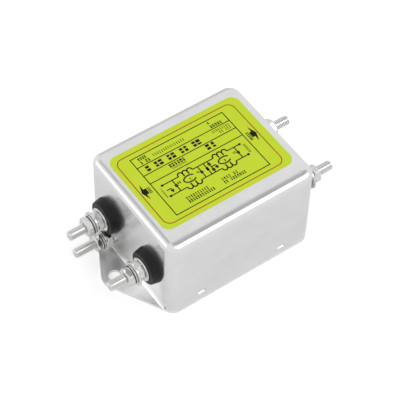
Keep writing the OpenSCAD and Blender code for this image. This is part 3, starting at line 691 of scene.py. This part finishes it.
labelPrint = {   # in millimetres on the label
    "frame": (-21.3, 20.5, -13.9, 16.55), "ruleAt": (11.85, 7.55, 3.25), "frameLine": 0.34,
    "rails": (0.2, -5.6), "railEnds": (-18.1, 16.8), "circuitLine": 0.4, "boldLine": 0.52, "dot": 0.52,
    "chokeAt": (-7.7, 7.9), "humpRadius": 1.03, "humpRise": 1.15, "humpLift": 0.25, "humpFoot": (0.4, 0.95),
    "railTick": 0.3, "coreSize": (2.55, 1.5), "coreOpening": 34,
    "capacitorAt": (-13.7, -2.4, 14.2), "plate": 0.6, "plateGap": 0.3, "pairAt": 1.95,
    "resistorAt": 0.2, "resistorHalf": (0.24, 0.8),
    "earthFrom": (1.95, -17.9), "earthArm": 1.8, "earthDrop": 0.9, "earthBars": (0.7, 0.25, 0.42),
    "arrows": ((-24.9, 1.2, -1), (24.1, 1.4, 1)), "arrowSize": (1.35, 3.8, 1.3, 1.1),
    # rows: left end, right end, height on the label, how tall, how heavy, quarter turns, seed
    "rows": (
        (-18.9, -14.3, 15.1, 1.3, 0.8, 0, 3), (-18.9, -14.6, 13.2, 1.5, 0.7, 0, 5),
        (-13.1, 1.2, 13.9, 1.2, 0.42, 0, 8), (12.5, 15.4, 15.2, 1.1, 0.9, 0, 2),
        (12.5, 17.8, 13.1, 1.3, 0.9, 0, 6), (-18.8, 5.7, 9.75, 2.5, 1.0, 0, 4),
        (10.6, 19.4, 10.5, 1.1, 0.42, 0, 9), (13.9, 19.4, 9.1, 1.1, 0.5, 0, 1),
        (-10.9, -3.9, 6.1, 1.6, 0.95, 0, 7), (-10.6, -4.1, 4.6, 0.7, 0.5, 0, 11),
        (5.2, 9.9, 5.7, 2.6, 0.8, 0, 12), (-14.3, -4.4, -9.8, 1.3, 0.62, 0, 13),
        (-14.3, -2.6, -11.5, 1.3, 0.72, 0, 14), (1.4, 8.8, -9.8, 1.3, 0.62, 0, 15),
        (1.4, 11.3, -11.5, 1.3, 0.72, 0, 16), (-0.5, 2.6, 23.0, 1.0, 0.85, 1, 17),
        (-3.4, 1.0, 22.2, 1.1, 0.85, 3, 18), (-5.6, -0.5, 19.4, 0.6, 0.6, 1, 19),
        (-5.2, -0.4, -18.1, 0.9, 0.6, 1, 20), (-13.0, -11.3, -2.1, 1.0, 0.7, 0, 21),
        (-4.2, -3.1, -2.0, 0.9, 0.7, 0, 22), (12.2, 13.5, -2.0, 0.9, 0.7, 0, 23),
        (-8.0, -7.3, -2.9, 1.0, 0.8, 0, 24), (7.6, 8.3, -2.9, 1.0, 0.8, 0, 25)),
    "cell": 0.78,
}
blockForm = {"emptyShare": 0.10, "widths": (0.6, 0.88), "splits": (0.30, 0.50), "filled": 0.82,
             "seedShifts": (0, 50, 100)}   # for the widths, the empty places and the splits


def strokeTree(finish):
    # flat ink stroke along every path it is given
    tree, inputs = newShapeTree("inkStroke", {"Width": 0.4 * mm, "Thick": 0.05 * mm}, fromPath=True)
    path = addNode(tree, "GeometryNodeMeshToCurve", None, {"Mesh": inputs["Path"]}).outputs[0]
    section = addNode(tree, "GeometryNodeCurvePrimitiveQuadrilateral", {"mode": "RECTANGLE"},
                      {"Width": inputs["Width"], "Height": inputs["Thick"]}).outputs[0]
    swept = addNode(tree, "GeometryNodeCurveToMesh", None, {
        "Curve": path, "Profile Curve": section, "Fill Caps": True}).outputs[0]
    endTree(tree, swept, finish)
    return tree


def rowTree(finish):
    # row of blocks, each one split by a slit at its own height, with some places left empty
    tree, inputs = newShapeTree("printRow", {
        "Count": 8, "Step": 1 * mm, "Tall": 1.2 * mm, "Weight": 0.8, "Thick": 0.05 * mm, "Seed": 1})
    widthShift, emptyShift, splitShift = blockForm["seedShifts"]
    line = addNode(tree, "GeometryNodeMeshLine", {"mode": "OFFSET"}, {
        "Count": inputs["Count"], "Offset": joinPoint(tree, inputs["Step"], 0.0, 0.0)}).outputs[0]

    def chance(low, high, shift):
        seed = calc(tree, "ADD", inputs["Seed"], shift)
        return addNode(tree, "FunctionNodeRandomValue", {"data_type": "FLOAT"}, {
            2: low, 3: high, "Seed": seed}).outputs[1]

    empty = addNode(tree, "FunctionNodeCompare", {"operation": "LESS_THAN"}, {
        0: chance(0.0, 1.0, emptyShift), 1: blockForm["emptyShare"]}).outputs[0]
    kept = addNode(tree, "GeometryNodeDeleteGeometry", None, {"Geometry": line, "Selection": empty}).outputs[0]
    widest = calc(tree, "MULTIPLY", inputs["Step"], inputs["Weight"])
    width = calc(tree, "MULTIPLY", widest, chance(*blockForm["widths"], widthShift))
    share = chance(*blockForm["splits"], splitShift)
    block = addNode(tree, "GeometryNodeMeshCube", None, {"Size": (1, 1, 1)}).outputs[0]
    both = addNode(tree, "GeometryNodeJoinGeometry")
    for side in (-1, 1):
        part = share if side < 0 else calc(tree, "SUBTRACT", blockForm["filled"], share)
        high = calc(tree, "MULTIPLY", inputs["Tall"], part)
        away = calc(tree, "MULTIPLY", calc(tree, "SUBTRACT", inputs["Tall"], high), side * 0.5)
        spots = addNode(tree, "GeometryNodeSetPosition", None, {
            "Geometry": kept, "Offset": joinPoint(tree, 0.0, away, 0.0)}).outputs[0]
        blocks = addNode(tree, "GeometryNodeInstanceOnPoints", None, {
            "Points": spots, "Instance": block, "Scale": joinPoint(tree, width, high, inputs["Thick"])}).outputs[0]
        tree.links.new(blocks, both.inputs[0])
    endTree(tree, both.outputs[0], finish)
    return tree


def bow(centre, size, start, end, steps):
    turns = [math.radians(start + (end - start) * step / steps) for step in range(steps + 1)]
    return [(centre[0] + size[0] * math.cos(turn), centre[1] + size[1] * math.sin(turn)) for turn in turns]


def circuitPaths():
    # thin and bold paths of the circuit drawing
    thin, bold = [], []
    high, low = labelPrint["rails"]
    middle, radius = (high + low) / 2, labelPrint["humpRadius"]
    lift, tick = labelPrint["humpLift"], labelPrint["railTick"]
    above, below = labelPrint["humpFoot"]
    for rail, up in ((high, 1), (low, -1)):
        stops = [x + 3 * radius * side for x in labelPrint["chokeAt"] for side in (-1, 1)]
        stops = [labelPrint["railEnds"][0], *stops, labelPrint["railEnds"][1]]
        thin += [[(stops[i], rail), (stops[i + 1], rail)] for i in (0, 2, 4)]
        for x in labelPrint["chokeAt"]:
            for hump in (-1, 0, 1):
                centre = (x + 2 * radius * hump, rail + up * lift)
                bold.append(bow(centre, (radius, up * labelPrint["humpRise"]), 180, 0, 12))
            for side in (-1, 1):
                foot, end = x + side * radius, x + side * 3 * radius
                bold.append([(foot, rail + up * above), (foot, rail - up * below)])
                thin.append([(end, rail), (end, rail + up * tick)])
    opening = labelPrint["coreOpening"]
    for x in labelPrint["chokeAt"]:
        bold.append(bow((x, middle), labelPrint["coreSize"], opening, 360 - opening, 28))
    plate, gap = labelPrint["plate"], labelPrint["plateGap"]

    def capacitor(x, top, bottom):
        centre = (top + bottom) / 2
        for end, side in ((top, 1), (bottom, -1)):
            thin.append([(x, end), (x, centre + side * gap)])
            bold.append([(x - plate, centre + side * gap), (x + plate, centre + side * gap)])

    for x in labelPrint["capacitorAt"]:
        capacitor(x, high, low)
    x, (half, tall) = labelPrint["resistorAt"], labelPrint["resistorHalf"]
    thin.append([(x, high), (x, low)])
    bold += [[(x + side * half, middle - tall), (x + side * half, middle + tall)] for side in (-1, 1)]
    x = labelPrint["pairAt"]
    capacitor(x, high, middle)
    capacitor(x, middle, low)
    widest, narrowing, spacing = labelPrint["earthBars"]
    for start in labelPrint["earthFrom"]:
        end, top = start + labelPrint["earthArm"], middle - labelPrint["earthDrop"]
        thin += [[(start, middle), (end, middle)], [(end, middle), (end, top)]]
        for step in range(3):
            reach, y = widest - narrowing * step, top - spacing * step
            thin.append([(end - reach, y), (end + reach, y)])
    return thin, bold


def framePaths():
    left, right, bottom, top = labelPrint["frame"]
    grow = labelPrint["frameLine"] / 2
    paths = [[(left - grow, y), (right + grow, y)] for y in (bottom, *labelPrint["ruleAt"], top)]
    return paths + [[(x, bottom), (x, top)] for x in (left, right)]


def pathMesh(paths):
    mesh = bpy.data.meshes.new("paths")
    points, edges = [], []
    for path in paths:
        edges += [(len(points) + i, len(points) + i + 1) for i in range(len(path) - 1)]
        points += [(x * mm, y * mm, 0) for x, y in path]
    mesh.from_pydata(points, edges, [])
    return mesh


def gather(store, mesh, place):
    # adds a placed mesh to the store
    mesh.transform(place)
    store.from_mesh(mesh)
    bpy.data.meshes.remove(mesh)


def storeMesh(name, store):
    bmesh.ops.recalc_face_normals(store, faces=store.faces)
    mesh = bpy.data.meshes.new(name)
    store.to_mesh(mesh)
    store.free()
    mesh.materials.append(finishes["black_ink"])
    return mesh


def makePrint():
    low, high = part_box("label_print")
    thick, level = high.z - low.z, (low.z + high.z) / 2
    raised = Matrix.Translation((0, 0, level))
    strokes, rows = strokeTree(finishes["black_ink"]), rowTree(finishes["black_ink"])
    drawing = bmesh.new()
    thin, bold = circuitPaths()
    for paths, line in ((framePaths(), "frameLine"), (thin, "circuitLine"), (bold, "boldLine")):
        values = {"Width": labelPrint[line] * mm, "Thick": thick}
        gather(drawing, growMesh("strokes", strokes, values, pathMesh(paths)), raised)
    dot = labelPrint["dot"] * mm
    for x in labelPrint["railEnds"]:
        for y in labelPrint["rails"]:
            bmesh.ops.create_cone(drawing, segments=24, cap_ends=True, radius1=dot, radius2=dot,
                                  depth=thick, matrix=Matrix.Translation((x * mm, y * mm, level)))
    tip, barb, shaft, tail = labelPrint["arrowSize"]
    outline = ((tip, 0), (0, barb), (0, shaft), (-tail, shaft), (-tail, -shaft), (0, -shaft), (0, -barb))
    for x, y, way in labelPrint["arrows"]:
        ends = [[drawing.verts.new(((x + way * a) * mm, (y + b) * mm, z)) for a, b in outline]
                for z in (low.z, high.z)]
        for ring in ends:
            drawing.faces.new(ring)
        for i in range(len(outline)):
            drawing.faces.new((ends[0][i - 1], ends[0][i], ends[1][i], ends[1][i - 1]))
    drawn = storeMesh("label_drawing", drawing)
    showPiece("label_drawing", drawn, Matrix.Identity(4), "black_ink", "label_print")
    marks = bmesh.new()
    for start, end, y, tall, weight, quarter, seed in labelPrint["rows"]:
        count = max(1, round((end - start) / (labelPrint["cell"] * tall)))
        step = (end - start) / count
        mesh = growMesh("row", rows, {
            "Count": count, "Step": step * mm, "Tall": tall * mm, "Weight": weight, "Thick": thick, "Seed": seed})
        spot = Matrix.Translation(((start + step / 2) * mm, y * mm, 0))
        gather(marks, mesh, raised @ Matrix.Rotation(math.radians(90 * quarter), 4, "Z") @ spot)
    showPiece("label_marks", storeMesh("label_marks", marks), Matrix.Identity(4), "black_ink")


makePrint()
print("label print made")


# Floor, light and camera

studio = {
    "floorSize": 1.6, "floorDrop": 0.02 * mm, "floorColour": (0.82, 0.82, 0.82),
    "floorGlow": 0.42, "floorInMetal": 0.16, "worldFill": 0.72, "worldInMetal": 0.93,
    # gaps: direction, half angle in degrees, how dark
    "gaps": (((0.363, 0.06, 0.93), 10, 0.62), ((0.11, 0.488, 0.866), 6, 0.75), ((0.363, 0.82, 0.44), 13, 0.3)),
    "gapEdge": (1.4, 0.5),   # where a gap begins and is full, in half angles
    # softboxes: place, size, power
    "softboxes": {"frontBox": ((0.305, -0.43, 0.66), (0.34, 0.42), 1.05),
                  "leftBox": ((-0.54, 0.44, 0.56), (0.54, 0.30), 0.85)},
    "aim": (0, 0, 0.02),
}


def makeFloor():
    half = studio["floorSize"] / 2
    mesh = bpy.data.meshes.new("floor")
    under = -studio["floorDrop"]
    corners = [(-half, -half, under), (half, -half, under), (half, half, under), (-half, half, under)]
    mesh.from_pydata(corners, [], [(0, 1, 2, 3)])
    floor = bpy.data.objects.new("floor", mesh)
    bpy.context.scene.collection.objects.link(floor)
    finish = bpy.data.materials.new("paperFloor")
    finish.use_nodes = True
    tree = finish.node_tree
    tree.nodes.clear()
    path = addNode(tree, "ShaderNodeLightPath").outputs
    mirrored = calc(tree, "MAXIMUM", path["Is Glossy Ray"], path["Is Transmission Ray"])
    glowing = calc(tree, "MAXIMUM", calc(tree, "MULTIPLY", path["Is Camera Ray"], studio["floorGlow"]),
                   calc(tree, "MULTIPLY", mirrored, studio["floorInMetal"]))
    paper = addNode(tree, "ShaderNodeBsdfDiffuse", None, {"Color": (*studio["floorColour"], 1)})
    glow = addNode(tree, "ShaderNodeEmission", None, {"Color": (1, 1, 1, 1), "Strength": glowing})
    both = addNode(tree, "ShaderNodeAddShader", None, {0: paper.outputs[0], 1: glow.outputs[0]})
    # seen from below the paper is clear, so the underside shows too
    clear = addNode(tree, "ShaderNodeBsdfTransparent")
    sided = addNode(tree, "ShaderNodeMixShader", None, {
        0: addNode(tree, "ShaderNodeNewGeometry").outputs["Backfacing"], 1: both.outputs[0], 2: clear.outputs[0]})
    addNode(tree, "ShaderNodeOutputMaterial", None, {"Surface": sided.outputs[0]})
    mesh.materials.append(finish)


def makeWorld():
    # metal sees a bright room with three soft dark gaps
    world = bpy.data.worlds.new("studio")
    bpy.context.scene.world = world
    world.use_nodes = True
    tree = world.node_tree
    tree.nodes.clear()
    direction = addNode(tree, "ShaderNodeTexCoord").outputs["Generated"]
    room = studio["worldInMetal"]
    begins, full = studio["gapEdge"]
    for towards, spread, dark in studio["gaps"]:
        near = addNode(tree, "ShaderNodeVectorMath", {"operation": "DOT_PRODUCT"}, {
            0: direction, 1: Vector(towards).normalized()}).outputs["Value"]
        gap = addNode(tree, "ShaderNodeMapRange", {"interpolation_type": "SMOOTHSTEP"}, {
            "Value": near, "From Min": math.cos(math.radians(begins * spread)),
            "From Max": math.cos(math.radians(full * spread)), "To Min": 0.0, "To Max": dark}).outputs["Result"]
        room = calc(tree, "MULTIPLY", room, calc(tree, "SUBTRACT", 1.0, gap))
    path = addNode(tree, "ShaderNodeLightPath").outputs
    mirrored = calc(tree, "MAXIMUM", path["Is Glossy Ray"], path["Is Transmission Ray"])
    inMetal = addNode(tree, "ShaderNodeMix", {"data_type": "FLOAT"}, {
        "Factor": mirrored, "A": studio["worldFill"], "B": room}).outputs["Result"]
    strength = addNode(tree, "ShaderNodeMix", {"data_type": "FLOAT"}, {
        "Factor": path["Is Camera Ray"], "A": inMetal, "B": 1.0}).outputs["Result"]
    sky = addNode(tree, "ShaderNodeBackground", None, {"Color": (1, 1, 1, 1), "Strength": strength})
    addNode(tree, "ShaderNodeOutputWorld", None, {"Surface": sky.outputs[0]})


def addSoftbox(name, place, size, power):
    data = bpy.data.lights.new(name, "AREA")
    data.shape = "RECTANGLE"
    data.size, data.size_y = size
    data.energy = power
    lamp = bpy.data.objects.new(name, data)
    lamp.location = place
    lamp.rotation_euler = (Vector(studio["aim"]) - Vector(place)).to_track_quat("-Z", "Y").to_euler()
    bpy.context.scene.collection.objects.link(lamp)


cameraPlace = {
    "azimuth": -36.6162, "elevation": 52.5284, "roll": 1.9048, "distance": 592.4 * mm,
    "aside": -1.0025 * mm, "up": -13.3007 * mm, "lens": 144.288, "shift": (-0.0004, 0.0012),
    "sensor": 36, "clip": (0.02, 20),
}


def makeCamera():
    azimuth, elevation = math.radians(cameraPlace["azimuth"]), math.radians(cameraPlace["elevation"])
    level = math.cos(elevation)
    back = Vector((math.sin(azimuth) * level, -math.cos(azimuth) * level, math.sin(elevation)))
    right = Vector((0, 0, 1)).cross(back).normalized()
    up = back.cross(right)
    roll = math.radians(cameraPlace["roll"])
    right, up = right * math.cos(roll) + up * math.sin(roll), up * math.cos(roll) - right * math.sin(roll)
    top = Vector((0, 0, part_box("case_shell")[1].z))
    spot = top + back * cameraPlace["distance"] + right * cameraPlace["aside"] + up * cameraPlace["up"]
    data = bpy.data.cameras.new("camera")
    data.sensor_width = cameraPlace["sensor"]
    data.lens = cameraPlace["lens"]
    data.shift_x, data.shift_y = cameraPlace["shift"]
    data.clip_start, data.clip_end = cameraPlace["clip"]
    camera = bpy.data.objects.new("camera", data)
    camera.matrix_world = Matrix.Translation(spot) @ Matrix((right, up, back)).transposed().to_4x4()
    bpy.context.scene.collection.objects.link(camera)
    bpy.context.scene.camera = camera


makeFloor()
makeWorld()
for name, (place, size, power) in studio["softboxes"].items():
    addSoftbox(name, place, size, power)
makeCamera()
bpy.context.scene.view_settings.view_transform = "Standard"
print("stage made")
